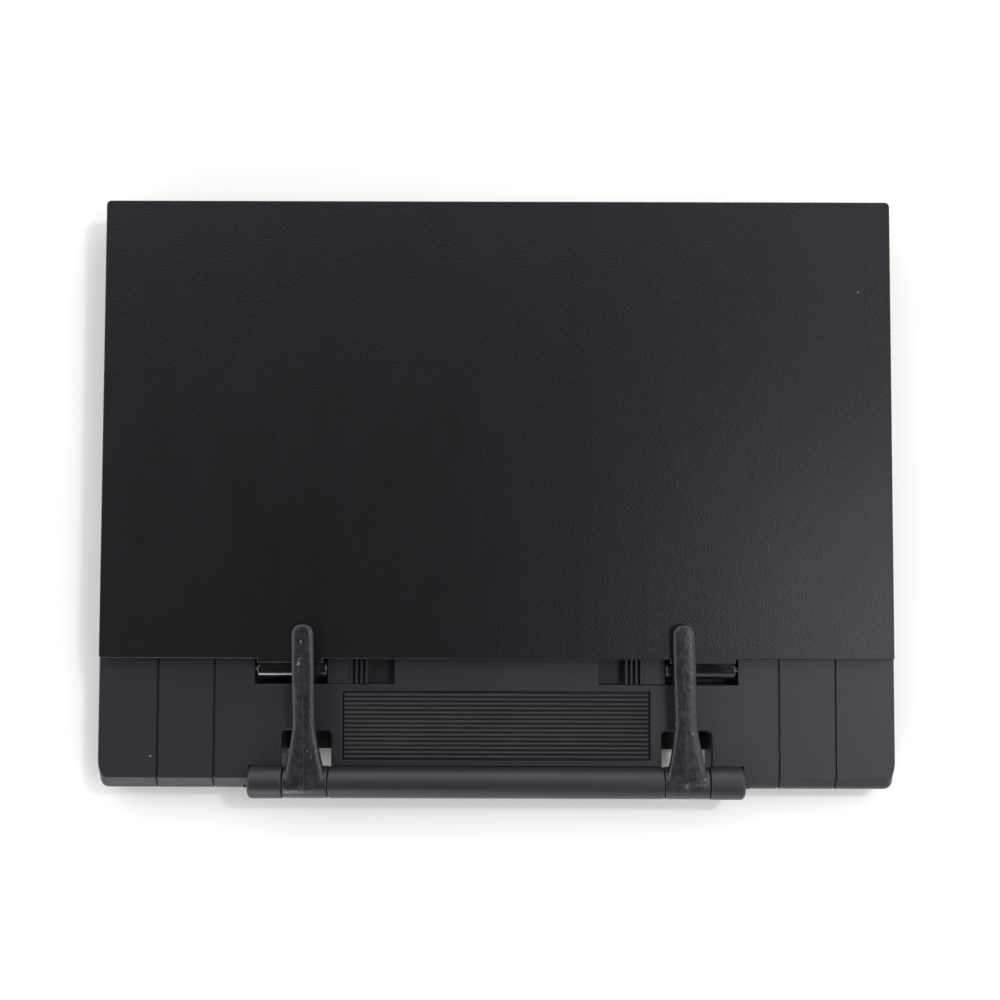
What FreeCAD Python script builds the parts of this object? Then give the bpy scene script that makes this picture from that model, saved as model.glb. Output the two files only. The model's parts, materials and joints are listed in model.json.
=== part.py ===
import FreeCAD, Part

import math
import os
import re

import Sketcher
from FreeCAD import Placement, Rotation, Vector

# Folding stand for a photo album, modelled folded flat: the backrest lies on the base.
# Millimetres. X runs across the stand, +Y to the back, +Z up.
# The origin is on the table, under the middle of the folded stand.

doc = FreeCAD.newDocument("AlbumStand")

# ---------------------------------------------------------------- driving sizes

SIZES = {
    # base
    "base_width": 330.0,
    "base_depth": 244.6,
    "base_height": 16.5,
    "base_corner": 3.8,
    "shell_wall": 2.4,
    "shell_roof": 2.4,
    "front_slope_run": 4.8,
    "front_slope_drop": 2.6,
    "front_round": 4.0,
    "rim_round": 0.6,
    "mouth_round": 0.3,
    "foot_height": 2.0,
    "foot_radius": 7.0,
    "foot_inset": 20.0,
    "foot_side_inset": 28.0,
    "cover_thickness": 1.8,
    "cover_gap": 0.2,
    "boss_radius": 3.6,
    "boss_inset": 12.0,
    "boss_middle": 61.0,
    "boss_inner": 27.5,
    "boss_inner_inset": 20.0,
    "stiffener_thickness": 1.6,
    "stiffener_depth": 6.0,
    "stiffener_inner": 36.7,
    "stiffener_outer": 103.0,
    # strip in front of the backrest
    "strip_depth": 54.4,
    "groove_inner": 117.0,
    "groove_outer": 140.4,
    "groove_width": 1.1,
    "groove_depth": 0.8,
    "groove_reach": 6.0,
    "groove_foot": 4.0,
    "pad_width": 126.4,
    "pad_depth": 27.3,
    "pad_setback": 14.4,
    "pad_moat": 0.6,
    "pad_sheet": 1.0,
    "pad_recess": 1.2,
    "rib_count": 15.0,
    "rib_width": 0.95,
    "rib_height": 0.75,
    # backrest
    "plate_width": 326.8,
    "plate_thickness": 4.6,
    "plate_gap": 0.8,
    "plate_skin": 1.8,
    "plate_rim": 2.4,
    "plate_front_corner": 1.0,
    "plate_back_corner": 2.0,
    "face_round": 0.5,
    "rear_cover_thickness": 1.2,
    "plate_rib_thickness": 1.2,
    "plate_rib_inset": 50.0,
    "plate_rib_inner": 29.7,
    "plate_rib_outer": 96.0,
    "post_radius": 2.6,
    "post_inner": 46.7,
    "post_side_inset": 14.0,
    "post_front_inset": 30.0,
    "post_back_inset": 12.0,
    "hinge_tab": 1.8,
    "tab_inset": 1.0,
    "seat_margin": 1.0,
    "seat_wall": 2.0,
    "bumper_radius": 4.0,
    "bumper_side_inset": 24.0,
    "bumper_end_inset": 20.0,
    # tilt hinge
    "hinge_ahead": 4.8,
    "hinge_height": 13.0,
    "knuckle_radius": 4.2,
    "knuckle_inner": 70.3,
    "knuckle_outer": 99.3,
    "knuckle_round": 0.8,
    "neck_inset": 2.0,
    "neck_ahead": 1.0,
    "neck_behind": 5.2,
    "tongue_setback": 1.0,
    "tongue_reach": 16.0,
    "tongue_thickness": 2.0,
    "pin_radius": 1.5,
    "pin_clearance": 0.05,
    "sleeve_wall": 1.05,
    "sleeve_length": 12.0,
    "pin_grip": 4.0,
    "pin_play": 0.5,
    # slots for knuckles and latches
    "slot_inner": 42.3,
    "slot_outer": 100.4,
    "slot_reach": 11.1,
    "slot_behind": 1.0,
    "slot_wall": 2.4,
    "channel_lip": 1.2,
    "channel_height": 12.0,
    "keeper_thickness": 1.4,
    "keeper_top": 6.4,
    "keeper_screw_inset": 5.0,
    "keeper_screw_edge": 2.2,
    # latches
    "latch_length": 16.6,
    "latch_travel": 10.0,
    "latch_gap": 0.3,
    "latch_engagement": 8.0,
    "latch_socket": 8.0,
    "carriage_thickness": 1.5,
    "carriage_tail": 1.0,
    "lug_length": 9.5,
    "lug_width": 8.0,
    "latch_rib_count": 4.0,
    "latch_rib_width": 0.9,
    "latch_rib_pitch": 2.08,
    "latch_rib_height": 0.7,
    "latch_groove_depth": 1.2,
    "latch_spring_radius": 1.4,
    "latch_spring_wire": 0.4,
    "latch_spring_turns": 14.0,
    "latch_spring_rise": 2.3,
    "latch_spring_bore": 8.0,
    "latch_spring_play": 0.3,
    # front roll and page arms
    "roll_overhang": 3.6,
    "roll_radius": 6.5,
    "roll_height": 16.0,
    "cap_step": 0.2,
    "cap_round": 1.6,
    "end_round": 0.5,
    "roll_clearance": 0.35,
    "rod_radius": 1.5,
    "barrel_centre": 78.5,
    "barrel_length": 18.2,
    "barrel_gap": 0.4,
    "cap_length": 14.2,
    "cap_end_wall": 2.4,
    "roll_key": 3.0,
    "roll_key_drop": 2.5,
    "roll_key_inset": 6.0,
    "arm_width": 9.1,
    "arm_length": 65.6,
    "arm_lift": 0.4,
    "arm_tip_thickness": 4.2,
    "finger_round": 1.4,
    "tip_round": 3.6,
    "flare_start": 4.0,
    "flare_end": 20.0,
    "finger_sink": 0.3,
    "finger_setback": 1.5,
    "finger_bend": 4.0,
    "finger_neck_run": 9.0,
    "finger_neck_rise": 1.6,
    "finger_root_run": 3.0,
    "finger_root_rise": 0.5,
    "hub_radius": 3.2,
    "hub_play": 0.1,
    "arm_spring_wire": 0.7,
    "arm_spring_radius": 4.15,
    "arm_spring_turns": 4.0,
    "arm_spring_inset": 0.8,
    "arm_spring_clearance": 0.5,
    "arm_spring_pocket": 7.0,
    "window_inner": 68.4,
    "window_width": 20.5,
    "window_rear": 30.2,
    "window_ahead": 1.8,
    "window_ledge": 9.5,
    "window_wall": 2.0,
    "window_corner": 2.0,
    "window_rim": 0.9,
    # fasteners
    "screw_radius": 1.3,
    "screw_head_radius": 2.5,
    "screw_head_height": 1.1,
    "screw_reach": 7.0,
    "small_screw_radius": 0.9,
    "small_head_radius": 1.8,
    "small_head_height": 0.7,
    "keeper_screw_reach": 3.4,
    "knuckle_screw_reach": 1.4,
    "knuckle_screw_offset": 8.0,
    "post_screw_reach": 1.6,
    "socket_depth": 0.5,
    # how far joined forms run into each other, and how far a cut runs past a face
    "overlap": 0.5,
    "overcut": 1.0,
}

sheet = doc.addObject("Spreadsheet::Sheet", "Sizes")
for row, (alias, number) in enumerate(SIZES.items(), start=1):
    sheet.set(f"A{row}", alias)
    sheet.set(f"B{row}", str(number))
    sheet.setAlias(f"B{row}", alias)
doc.recompute()

# Places worked out from the driving sizes, as formulas in their words.
PLACES = {
    "base_back": "(base_depth + roll_overhang) / 2",
    "base_front": "base_back - base_depth",
    "half_base": "base_width / 2",
    "half_plate": "plate_width / 2",
    "slope_top": "base_front + front_slope_run",
    "roof_under": "base_height - shell_roof",
    "into_roof": "roof_under + overlap",
    "cover_top": "foot_height + cover_thickness",
    "plate_front": "base_front + strip_depth",
    "plate_under": "base_height + plate_gap",
    "plate_top": "plate_under + plate_thickness",
    "skin_under": "plate_top - plate_skin",
    "into_skin": "skin_under + overlap",
    "rear_cover_top": "plate_under + rear_cover_thickness",
    "hinge_line": "plate_front - hinge_ahead",
    "slot_front": "plate_front - slot_reach",
    "slot_back": "plate_front + slot_behind",
    "tub_front": "slot_front - channel_lip - slot_wall",
    "tub_back": "slot_back + channel_lip + slot_wall",
    "tub_outer": "slot_outer + pin_grip + slot_wall",
    "latch_outer": "knuckle_inner - latch_gap",
    "latch_inner": "latch_outer - latch_length",
    "carriage_inner": "slot_inner - latch_gap - carriage_tail",
    "carriage_under": "channel_height - carriage_thickness - latch_gap",
    "channel_inner": "carriage_inner - latch_travel - latch_gap",
    "spring_wall": "slot_inner - latch_gap",
    "spring_height": "keeper_top + latch_spring_rise",
    "lug_inner": "latch_outer - lug_length",
    "thumb_top": "base_height - latch_gap",
    "tub_inner": "channel_inner - slot_wall",
    "keeper_under": "keeper_top - keeper_thickness",
    "pad_back": "plate_front - pad_setback",
    "pad_front": "pad_back - pad_depth",
    "half_pad": "pad_width / 2",
    "pad_floor": "base_height - pad_recess",
    "cap_radius": "roll_radius + cap_step",
    "roll_line": "base_front - roll_overhang + cap_radius",
    "trough_radius": "roll_radius + roll_clearance",
    "barrel_inner": "barrel_centre - barrel_length / 2",
    "barrel_outer": "barrel_centre + barrel_length / 2",
    "cap_inner": "barrel_outer + barrel_gap",
    "cap_outer": "cap_inner + cap_length",
    "roll_end": "barrel_inner - barrel_gap",
    "trough_end": "cap_outer + roll_clearance",
    "block_end": "trough_end + shell_wall",
    "block_back": "roll_line + trough_radius + shell_wall",
    "key_under": "roll_height - roll_radius - roll_key_drop",
    "window_back": "plate_front - window_rear",
    "window_front": "roll_line + window_ahead",
    "window_outer": "window_inner + window_width",
    "arm_under": "plate_top + arm_lift",
    "arm_top": "arm_under + arm_tip_thickness",
    "finger_top": "roll_height + roll_radius - finger_sink",
    "arm_end": "roll_line + arm_length",
    "finger_root": "roll_line - finger_setback",
    "flare_front": "roll_line + flare_start",
    "flare_back": "roll_line + flare_end",
    "sleeve_radius": "pin_radius + pin_clearance + sleeve_wall",
    "head_seat": "foot_height + screw_head_height",
    "screw_tip": "cover_top + screw_reach",
    "small_seat": "plate_under + small_head_height",
    "tongue_top": "plate_under + tongue_thickness",
    "tongue_front": "plate_front - hinge_tab + tongue_setback",
    "tongue_back": "plate_front + tongue_reach",
    "seat_back": "tongue_back + seat_wall",
}


def formula(text):
    """Spell a formula in size and place words out as a spreadsheet expression."""

    def spell(match):
        word = match.group(0)
        if word in PLACES:
            return "(" + formula(PLACES[word]) + ")"
        return "Sizes." + word

    return re.sub(r"[a-z_]+", spell, text)


def value(text):
    """The number that a formula gives now."""
    return float(sheet.evalExpression(formula(str(text))))


SIDES = (("left", -1), ("right", 1))


def on_side(sign, text):
    """An X place on the left (-1) or right (1) half of the stand."""
    return f"{sign} * ({text})"


def span(sign, inner, outer):
    """An X range on one half of the stand, in rising order."""
    if sign > 0:
        return inner, outer
    return f"-({outer})", f"-({inner})"


# ---------------------------------------------------------------- modelling helpers

parts = {}


def keep(name, piece):
    """Name a finished sub-part."""
    piece.Label = name
    parts[name] = piece
    return piece


def new_body(name):
    body = doc.addObject("PartDesign::Body", name)
    return keep(name, body)


def sketch_on(body, name, role, level):
    """An empty sketch parallel to one of the body's own origin planes."""
    sketch = body.newObject("Sketcher::SketchObject", name + "_sketch")
    plane = [item for item in body.Origin.OriginFeatures if item.Role == role][0]
    sketch.AttachmentSupport = [(plane, "")]
    sketch.MapMode = "FlatFace"
    sketch.setExpression("AttachmentOffset.Base.z", formula(level))
    return sketch


def bind_point(sketch, edge, vertex, x, y):
    """Tie one sketch point to two formulas."""
    for kind, text in (("DistanceX", x), ("DistanceY", y)):
        index = sketch.addConstraint(Sketcher.Constraint(kind, edge, vertex, value(text)))
        sketch.setExpression(f"Constraints[{index}]", formula(text))


def add_outline(sketch, points):
    """Closed outline of straight lines through points given as formula pairs."""
    spots = [Vector(value(x), value(y), 0) for x, y in points]
    count = len(spots)
    first = sketch.GeometryCount
    for i in range(count):
        sketch.addGeometry(Part.LineSegment(spots[i], spots[(i + 1) % count]))
    for i in range(count):
        joint = Sketcher.Constraint("Coincident", first + i, 2, first + (i + 1) % count, 1)
        sketch.addConstraint(joint)
    for i, (x, y) in enumerate(points):
        bind_point(sketch, first + i, 1, x, y)


def add_circle(sketch, x, y, radius):
    index = sketch.GeometryCount
    centre = Vector(value(x), value(y), 0)
    sketch.addGeometry(Part.Circle(centre, Vector(0, 0, 1), value(radius)))
    bind_point(sketch, index, 3, x, y)
    datum = sketch.addConstraint(Sketcher.Constraint("Radius", index, value(radius)))
    sketch.setExpression(f"Constraints[{datum}]", formula(radius))


def extrude(body, name, sketch, length, cut):
    """Pad or pocket a sketch along its plane's normal, and see that it changed the solid."""
    before = body.Shape.Volume if body.Tip else 0.0
    kind = "PartDesign::Pocket" if cut else "PartDesign::Pad"
    feature = body.newObject(kind, name)
    feature.Profile = sketch
    feature.setExpression("Length", formula(length))
    feature.Reversed = cut
    doc.recompute()
    change = body.Shape.Volume - before
    if (change >= 0) if cut else (change <= 0):
        raise RuntimeError(f"{body.Label}: {name} changed nothing")
    return feature


def blocks(body, name, boxes, low, high, cut=False):
    """Rectangles (x0, x1, y0, y1) raised or cut between two heights."""
    sketch = sketch_on(body, name, "XY_Plane", low)
    for x0, x1, y0, y1 in boxes:
        add_outline(sketch, [(x0, y0), (x1, y0), (x1, y1), (x0, y1)])
    return extrude(body, name, sketch, f"({high}) - ({low})", cut)


def both_sides(x0, x1, y0, y1):
    """The same rectangle on the left and on the right half."""
    return [(on_side(sign, x0), on_side(sign, x1), y0, y1) for side, sign in SIDES]


def columns(body, name, centres, radius, low, high, cut=False):
    """Upright round bosses or holes between two heights."""
    sketch = sketch_on(body, name, "XY_Plane", low)
    for x, y in centres:
        add_circle(sketch, x, y, radius)
    return extrude(body, name, sketch, f"({high}) - ({low})", cut)


def across(body, name, start, length, outline=None, circle=None, cut=False):
    """A (y, z) section extended along +X from a start place."""
    sketch = sketch_on(body, name, "YZ_Plane", start)
    if outline:
        add_outline(sketch, outline)
    if circle:
        add_circle(sketch, *circle)
    return extrude(body, name, sketch, length, cut)


def round_edges(body, name, radius, wanted):
    """Fillet the edges of the body that a test picks out."""
    tip = body.Tip
    names = [f"Edge{i}" for i, edge in enumerate(tip.Shape.Edges, start=1) if wanted(edge)]
    if not names:
        raise RuntimeError(f"{body.Label}: {name} found no edge")
    fillet = body.newObject("PartDesign::Fillet", name)
    fillet.Base = (tip, names)
    fillet.setExpression("Radius", formula(str(radius)))
    doc.recompute()
    return fillet


TOUCHING = 0.01


def near(a, b):
    return abs(a - b) < TOUCHING


def is_line(edge, direction):
    """A straight edge along a direction."""
    if edge.Curve.TypeId != "Part::GeomLine":
        return False
    return near(abs(edge.tangentAt(edge.FirstParameter).dot(direction)), 1.0)


UP = Vector(0, 0, 1)
ALONG_X = Vector(1, 0, 0)
ALONG_Y = Vector(0, 1, 0)
TURN_TO_X = Rotation(ALONG_Y, 90)


def place(piece, x, y, z, turn=None):
    if turn:
        piece.Placement = Placement(Vector(), turn)
    for axis, text in (("x", x), ("y", y), ("z", z)):
        piece.setExpression(f"Placement.Base.{axis}", formula(str(text)))
    return piece


def rod_along_x(name, radius, start, end, y, z):
    piece = doc.addObject("Part::Cylinder", name)
    piece.setExpression("Radius", formula(radius))
    piece.setExpression("Height", formula(f"({end}) - ({start})"))
    return place(piece, start, y, z, TURN_TO_X)


def upright(name, radius, x, y, low, high):
    piece = doc.addObject("Part::Cylinder", name)
    piece.setExpression("Radius", formula(radius))
    piece.setExpression("Height", formula(f"({high}) - ({low})"))
    return place(piece, x, y, low)


def box(name, x0, x1, y0, y1, z0, z1):
    piece = doc.addObject("Part::Box", name)
    piece.setExpression("Length", formula(f"({x1}) - ({x0})"))
    piece.setExpression("Width", formula(f"({y1}) - ({y0})"))
    piece.setExpression("Height", formula(f"({z1}) - ({z0})"))
    return place(piece, x0, y0, z0)


def cut(name, base, tool):
    piece = doc.addObject("Part::Cut", name)
    piece.Base = base
    piece.Tool = tool
    return piece


def fuse(name, pieces):
    piece = doc.addObject("Part::MultiFuse", name)
    piece.Shapes = pieces
    return piece


def group(name, pieces):
    """Separate like solids held together as one sub-part."""
    piece = doc.addObject("Part::Compound", name)
    piece.Links = pieces
    return keep(name, piece)


def screws(name, centres, seat, tip, radius, head_radius, head_height):
    """Upward screws: each has its head under the seat and its shank up to the tip."""
    pieces = []
    for number, (x, y) in enumerate(centres, start=1):
        label = f"{name}_{number}"
        under = f"({seat}) - ({head_height})"
        head = upright(label + "_head", head_radius, x, y, under, seat)
        shank = upright(label + "_shank", radius, x, y, seat, tip)
        socket = upright(label + "_socket", f"({head_radius}) / 2", x, y, under, f"{under} + socket_depth")
        pieces.append(cut(label, fuse(label + "_solid", [head, shank]), socket))
    return group(name, pieces)


def coil(name, radius, wire, turns, start, end, y, z):
    """A helical spring along +X between two places, as one swept solid."""
    coil_radius = value(radius)
    length = value(f"({end}) - ({start})")
    pitch = length / value(turns)
    lead = math.atan2(pitch, 2 * math.pi * coil_radius)
    along_wire = Vector(0, math.cos(lead), math.sin(lead))
    helix = Part.makeHelix(pitch, length, coil_radius)
    section = Part.Wire(Part.makeCircle(value(wire) / 2, Vector(coil_radius, 0, 0), along_wire))
    piece = doc.addObject("Part::Feature", name)
    piece.Shape = Part.Wire(helix.Edges).makePipeShell([section], True, True)
    piece.Placement = Placement(Vector(value(start), value(y), value(z)), TURN_TO_X)
    return keep(name, piece)


# ---------------------------------------------------------------- base

COVER_SCREWS = [
    (on_side(sign, x), y)
    for side, sign in SIDES
    for x, y in (
        ("half_base - boss_inset", "base_back - boss_inset"),
        ("boss_middle", "base_back - boss_inset"),
        ("half_base - boss_inset", "base_front + boss_inset"),
        ("half_base - boss_inset", "plate_front + boss_inset"),
        ("boss_inner", "plate_front + boss_inner_inset"),
    )
]
KEEPER_SCREWS = [
    (on_side(sign, x), "hinge_line")
    for side, sign in SIDES
    for x in ("tub_inner + keeper_screw_inset", "tub_outer - keeper_screw_edge")
]
KEY_SPANS = [("-roll_end + roll_key_inset", "roll_end - roll_key_inset")]
for side, sign in SIDES:
    KEY_SPANS.append(span(sign, "cap_inner + cap_end_wall", "cap_outer - cap_end_wall"))

shell = new_body("base_top_shell")
across(shell, "outer_form", "-half_base", "base_width", outline=[
    ("base_back", "foot_height"),
    ("base_back", "base_height"),
    ("slope_top", "base_height"),
    ("base_front", "base_height - front_slope_drop"),
    ("base_front", "foot_height"),
])
round_edges(shell, "upright_corners", "base_corner", lambda edge: is_line(edge, UP))
round_edges(shell, "front_round", "front_round", lambda edge: (
    is_line(edge, ALONG_X)
    and near(edge.CenterOfMass.y, value("base_front"))
    and near(edge.CenterOfMass.z, value("base_height - front_slope_drop"))
))
round_edges(shell, "top_rim", "rim_round", lambda edge: (
    near(edge.BoundBox.ZMin, value("base_height"))
    and edge.BoundBox.YMax > value("slope_top") + TOUCHING
))
blocks(shell, "cavity", [(
    "-half_base + shell_wall", "half_base - shell_wall",
    "base_front + shell_wall", "base_back - shell_wall",
)], "foot_height", "roof_under", cut=True)
blocks(shell, "slot_tubs", both_sides("tub_inner", "tub_outer", "tub_front", "tub_back"),
       "keeper_top", "into_roof")
blocks(shell, "roll_block", [("-block_end", "block_end", "base_front + overlap", "block_back")],
       "cover_top", "into_roof")
blocks(shell, "window_shafts", both_sides(
    "window_inner - window_wall", "window_outer + window_wall",
    "roll_line", "window_back + window_wall",
), "cover_top", "into_roof")
columns(shell, "cover_bosses", COVER_SCREWS, "boss_radius", "cover_top", "into_roof")
blocks(shell, "long_stiffeners", [
    ("-half_base + overlap", "half_base - overlap",
     f"{y} - stiffener_thickness / 2", f"{y} + stiffener_thickness / 2")
    for y in ("base_back - base_depth / 4", "base_back - base_depth / 2")
], "roof_under - stiffener_depth", "into_roof")
blocks(shell, "cross_stiffeners", [
    (f"{x} - stiffener_thickness / 2", f"{x} + stiffener_thickness / 2",
     "tub_back - overlap", "base_back - overlap")
    for x in ("-stiffener_outer", "-stiffener_inner", "stiffener_inner", "stiffener_outer")
], "roof_under - stiffener_depth", "into_roof")
blocks(shell, "slots", both_sides("slot_inner", "slot_outer", "slot_front", "slot_back"),
       "channel_height", "base_height", cut=True)
blocks(shell, "knuckle_wells", both_sides(
    "latch_outer + latch_gap / 2", "slot_outer", "slot_front", "slot_back",
), "keeper_top", "channel_height", cut=True)
blocks(shell, "carriage_channels", both_sides(
    "channel_inner", "latch_outer + latch_gap / 2", "slot_front - channel_lip", "slot_back + channel_lip",
), "carriage_under", "channel_height", cut=True)
blocks(shell, "spring_channels", both_sides(
    "spring_wall", "latch_outer + latch_gap / 2", "slot_front - channel_lip", "slot_back + channel_lip",
), "keeper_top", "carriage_under", cut=True)
for side, sign in SIDES:
    start = "slot_outer" if sign > 0 else "-slot_outer - pin_grip"
    across(shell, side + "_pin_hole", start, "pin_grip", cut=True,
           circle=("hinge_line", "hinge_height", "pin_radius"))
across(shell, "roll_trough", "-trough_end", "2 * trough_end", cut=True,
       circle=("roll_line", "roll_height", "trough_radius"))
blocks(shell, "key_slots", [
    (x0, x1, "roll_line - roll_key / 2", "roll_line + roll_key / 2") for x0, x1 in KEY_SPANS
], "key_under", "roll_height", cut=True)
blocks(shell, "windows", both_sides("window_inner", "window_outer", "window_front", "window_back"),
       "cover_top", "base_height", cut=True)
blocks(shell, "front_notches", both_sides(
    "window_inner", "window_outer", "base_front - overcut", "window_front + overlap",
), "foot_height", "roll_height", cut=True)
blocks(shell, "pad_seat", [(
    "-half_pad - pad_moat", "half_pad + pad_moat", "pad_front - pad_moat", "pad_back + pad_moat",
)], "pad_floor", "base_height", cut=True)
for side, sign in SIDES:
    for where in ("groove_inner", "groove_outer"):
        start = on_side(sign, where) + " - groove_width / 2"
        across(shell, f"{side}_{where}", start, "groove_width", cut=True, outline=[
            ("plate_front + groove_reach", "base_height - groove_depth"),
            ("plate_front + groove_reach", "base_height + overcut"),
            ("base_front - overcut", "base_height + overcut"),
            ("base_front - overcut", "foot_height + groove_foot"),
            ("base_front + groove_depth", "foot_height + groove_foot"),
            ("base_front + groove_depth", "base_height - front_slope_drop - groove_depth / 2"),
            ("slope_top + groove_depth / 2", "base_height - groove_depth"),
        ])
columns(shell, "boss_holes", COVER_SCREWS, "screw_radius", "cover_top", "screw_tip", cut=True)
columns(shell, "keeper_screw_holes", KEEPER_SCREWS, "small_screw_radius",
        "keeper_top", "keeper_top + keeper_screw_reach", cut=True)
round_edges(shell, "window_corners", "window_corner", lambda edge: (
    is_line(edge, UP)
    and near(edge.CenterOfMass.y, value("window_back"))
    and any(near(abs(edge.CenterOfMass.x), value(place_x)) for place_x in ("window_inner", "window_outer"))
))
round_edges(shell, "window_rims", "window_rim", lambda edge: (
    near(edge.BoundBox.ZMin, value("base_height"))
    and value("window_inner") - TOUCHING < abs(edge.CenterOfMass.x) < value("window_outer") + TOUCHING
    and value("roll_line + roll_radius") < edge.BoundBox.YMin
    and edge.BoundBox.YMax < value("window_back") + TOUCHING
))
round_edges(shell, "mouth_rims", "mouth_round", lambda edge: (
    near(edge.BoundBox.ZMin, value("base_height"))
    and abs(edge.CenterOfMass.x) < value("block_end")
    and edge.BoundBox.YMin > value("roll_line + trough_radius")
    and (
        abs(edge.CenterOfMass.x) < value("window_inner - window_rim")
        or edge.BoundBox.YMin > value("window_back + window_rim")
    )
    and edge.BoundBox.YMax < value("slot_back") - TOUCHING
))

cover = new_body("base_bottom_cover")
blocks(cover, "sheet", [(
    "-half_base + shell_wall + cover_gap", "half_base - shell_wall - cover_gap",
    "base_front + shell_wall + cover_gap", "base_back - shell_wall - cover_gap",
)], "foot_height", "cover_top")
blocks(cover, "window_openings", both_sides(
    "window_inner", "window_outer", "base_front", "window_back - window_ledge",
), "foot_height", "cover_top", cut=True)
columns(cover, "screw_holes", COVER_SCREWS, "screw_radius", "foot_height", "cover_top", cut=True)
columns(cover, "head_seats", COVER_SCREWS, "screw_head_radius", "foot_height", "head_seat", cut=True)

screws("base_screws", COVER_SCREWS, "head_seat", "screw_tip",
       "screw_radius", "screw_head_radius", "screw_head_height")

FOOT_PLACES = [
    (on_side(sign, "half_base - foot_side_inset"), y)
    for side, sign in SIDES
    for y in ("base_front + foot_inset", "base_front + base_depth / 2", "base_back - foot_inset")
]
group("rubber_feet", [
    upright(f"foot_{number}", "foot_radius", x, y, "0", "foot_height")
    for number, (x, y) in enumerate(FOOT_PLACES, start=1)
])

# ---------------------------------------------------------------- rubber pad

pad = new_body("ribbed_pad")
blocks(pad, "pad_sheet_form", [("-half_pad", "half_pad", "pad_front", "pad_back")],
       "pad_floor", "pad_floor + pad_sheet")
rib = blocks(pad, "rib", [("-half_pad", "half_pad", "pad_front", "pad_front + rib_width")],
             "pad_floor + pad_sheet", "pad_floor + pad_sheet + rib_height")
rib_row = pad.newObject("PartDesign::LinearPattern", "rib_row")
rib_row.Originals = [rib]
rib_row.Direction = (doc.getObject("rib_sketch"), ["V_Axis"])
rib_row.setExpression("Length", formula("pad_depth - rib_width"))
rib_row.setExpression("Occurrences", formula("rib_count"))
pad.Tip = rib_row
doc.recompute()

# ---------------------------------------------------------------- tilt hinges and their latches

KNUCKLE_SCREWS = [
    (on_side(sign, f"(knuckle_inner + knuckle_outer) / 2 {way} knuckle_screw_offset"),
     "plate_front + tongue_reach / 2")
    for side, sign in SIDES
    for way in ("-", "+")
]


def slot_keeper(side, sign, screw_places):
    """Plate under the slot that the latch's lug runs over."""
    x0, x1 = span(sign, "tub_inner", "tub_outer")
    plate = box(side + "_keeper_sheet", x0, x1, "tub_front", "tub_back", "keeper_under", "keeper_top")
    holes = [
        upright(f"{side}_keeper_hole_{number}", "small_screw_radius", x, y, "keeper_under", "keeper_top")
        for number, (x, y) in enumerate(screw_places, start=1)
    ]
    piece = cut(side + "_keeper", plate, fuse(side + "_keeper_holes", holes))
    return keep(side + "_latch_keeper", piece)


def latch_slide(side, sign):
    """Thumb block on a carriage that runs under the slot's lips, with a lug for its spring."""
    body = new_body(side + "_latch_slide")
    front, back = "slot_front + latch_gap", "slot_back - latch_gap"
    x0, x1 = span(sign, "latch_inner", "latch_outer")
    blocks(body, side + "_thumb", [(x0, x1, front, back)], "channel_height - overlap", "thumb_top")
    x0, x1 = span(sign, "carriage_inner", "latch_outer")
    blocks(body, side + "_carriage", [
        (x0, x1, "slot_front - channel_lip + latch_gap", "slot_back + channel_lip - latch_gap"),
    ], "channel_height - carriage_thickness - latch_gap / 2", "channel_height - latch_gap / 2")
    x0, x1 = span(sign, "lug_inner", "latch_outer")
    blocks(body, side + "_lug", [(x0, x1, "hinge_line - lug_width / 2", "hinge_line + lug_width / 2")],
           "keeper_top + latch_gap", "channel_height - overlap")
    x0, x1 = span(sign, "latch_inner",
                  "latch_inner + latch_rib_pitch * (latch_rib_count - 1) + latch_rib_width")
    blocks(body, side + "_grip", [(x0, x1, front, back)],
           "thumb_top - overlap", "thumb_top + latch_rib_height")
    x0, x1 = span(sign, "latch_inner + latch_rib_width", "latch_inner + latch_rib_pitch")
    groove = blocks(body, side + "_grip_groove", [(x0, x1, front, back)],
                    "thumb_top - latch_groove_depth", "thumb_top + latch_rib_height + overcut", cut=True)
    row = body.newObject("PartDesign::LinearPattern", side + "_grip_grooves")
    row.Originals = [groove]
    row.Direction = (groove.Profile[0], ["H_Axis"])
    row.Reversed = sign < 0
    row.setExpression("Length", formula("latch_rib_pitch * (latch_rib_count - 2)"))
    row.setExpression("Occurrences", formula("latch_rib_count - 1"))
    body.Tip = row
    doc.recompute()
    x0, x1 = span(sign, "lug_inner", "lug_inner + latch_spring_bore")
    across(body, side + "_spring_bore", x0, f"({x1}) - ({x0})", cut=True,
           circle=("hinge_line", "spring_height", "latch_spring_radius + latch_spring_wire"))
    x0, x1 = span(sign, "latch_outer - latch_socket", "latch_outer")
    across(body, side + "_pin_bore", x0, f"({x1}) - ({x0})", cut=True,
           circle=("hinge_line", "hinge_height", "pin_radius"))
    return body


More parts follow.
